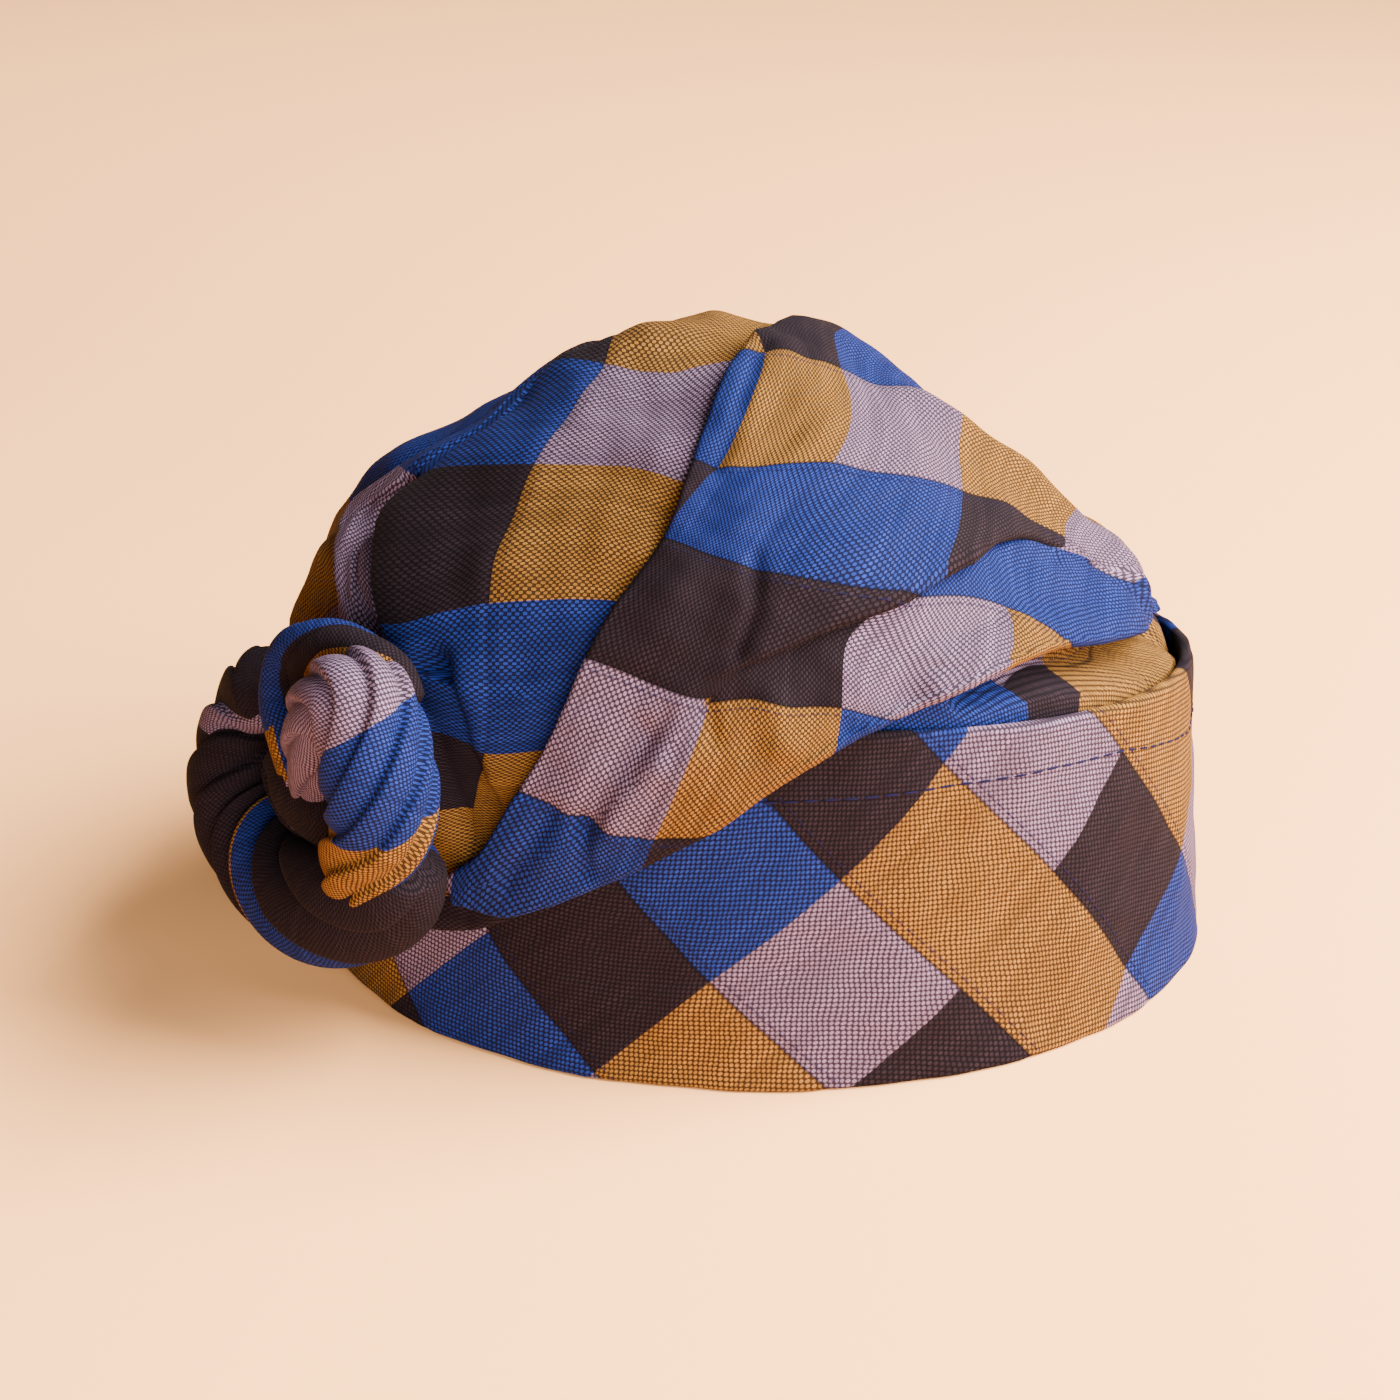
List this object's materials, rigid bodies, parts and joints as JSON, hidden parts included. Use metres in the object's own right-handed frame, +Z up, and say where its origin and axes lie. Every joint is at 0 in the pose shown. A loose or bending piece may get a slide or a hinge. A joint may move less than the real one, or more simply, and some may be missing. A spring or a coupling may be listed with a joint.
{
  "type": "turban-style wrapped hat",
  "caption": "Turban-style wrapped hat in strip-woven check cloth: fitted band, cap, draped wraps and a twisted rosette knot on one side, open below for the head.",
  "frame": {"origin": "middle of the bounding box's underside, on the surface that the band stands on", "axes": "+Z up, the front of the hat faces -Y, the knot is on the -X side"},
  "size_m": [0.231, 0.178, 0.1428],
  "materials": {
    "band_cloth": "matte plain-woven cotton check in ochre, brown, lavender and blue, cut on the bias",
    "crown_cloth": "matte plain-woven cotton check in ochre, brown, lavender and blue",
    "under_wrap_cloth": "matte plain-woven cotton check in ochre, brown, lavender and blue",
    "over_wrap_cloth": "matte plain-woven cotton check in ochre, brown, lavender and blue",
    "knot_cloth": "matte plain-woven cotton check in brown, blue, lavender and ochre, twisted"
  },
  "bodies": {
    "root": {"band": "band_cloth", "crown": "crown_cloth", "under_wrap": "under_wrap_cloth", "over_wrap": "over_wrap_cloth", "knot": "knot_cloth"}
  },
  "joints": []
}
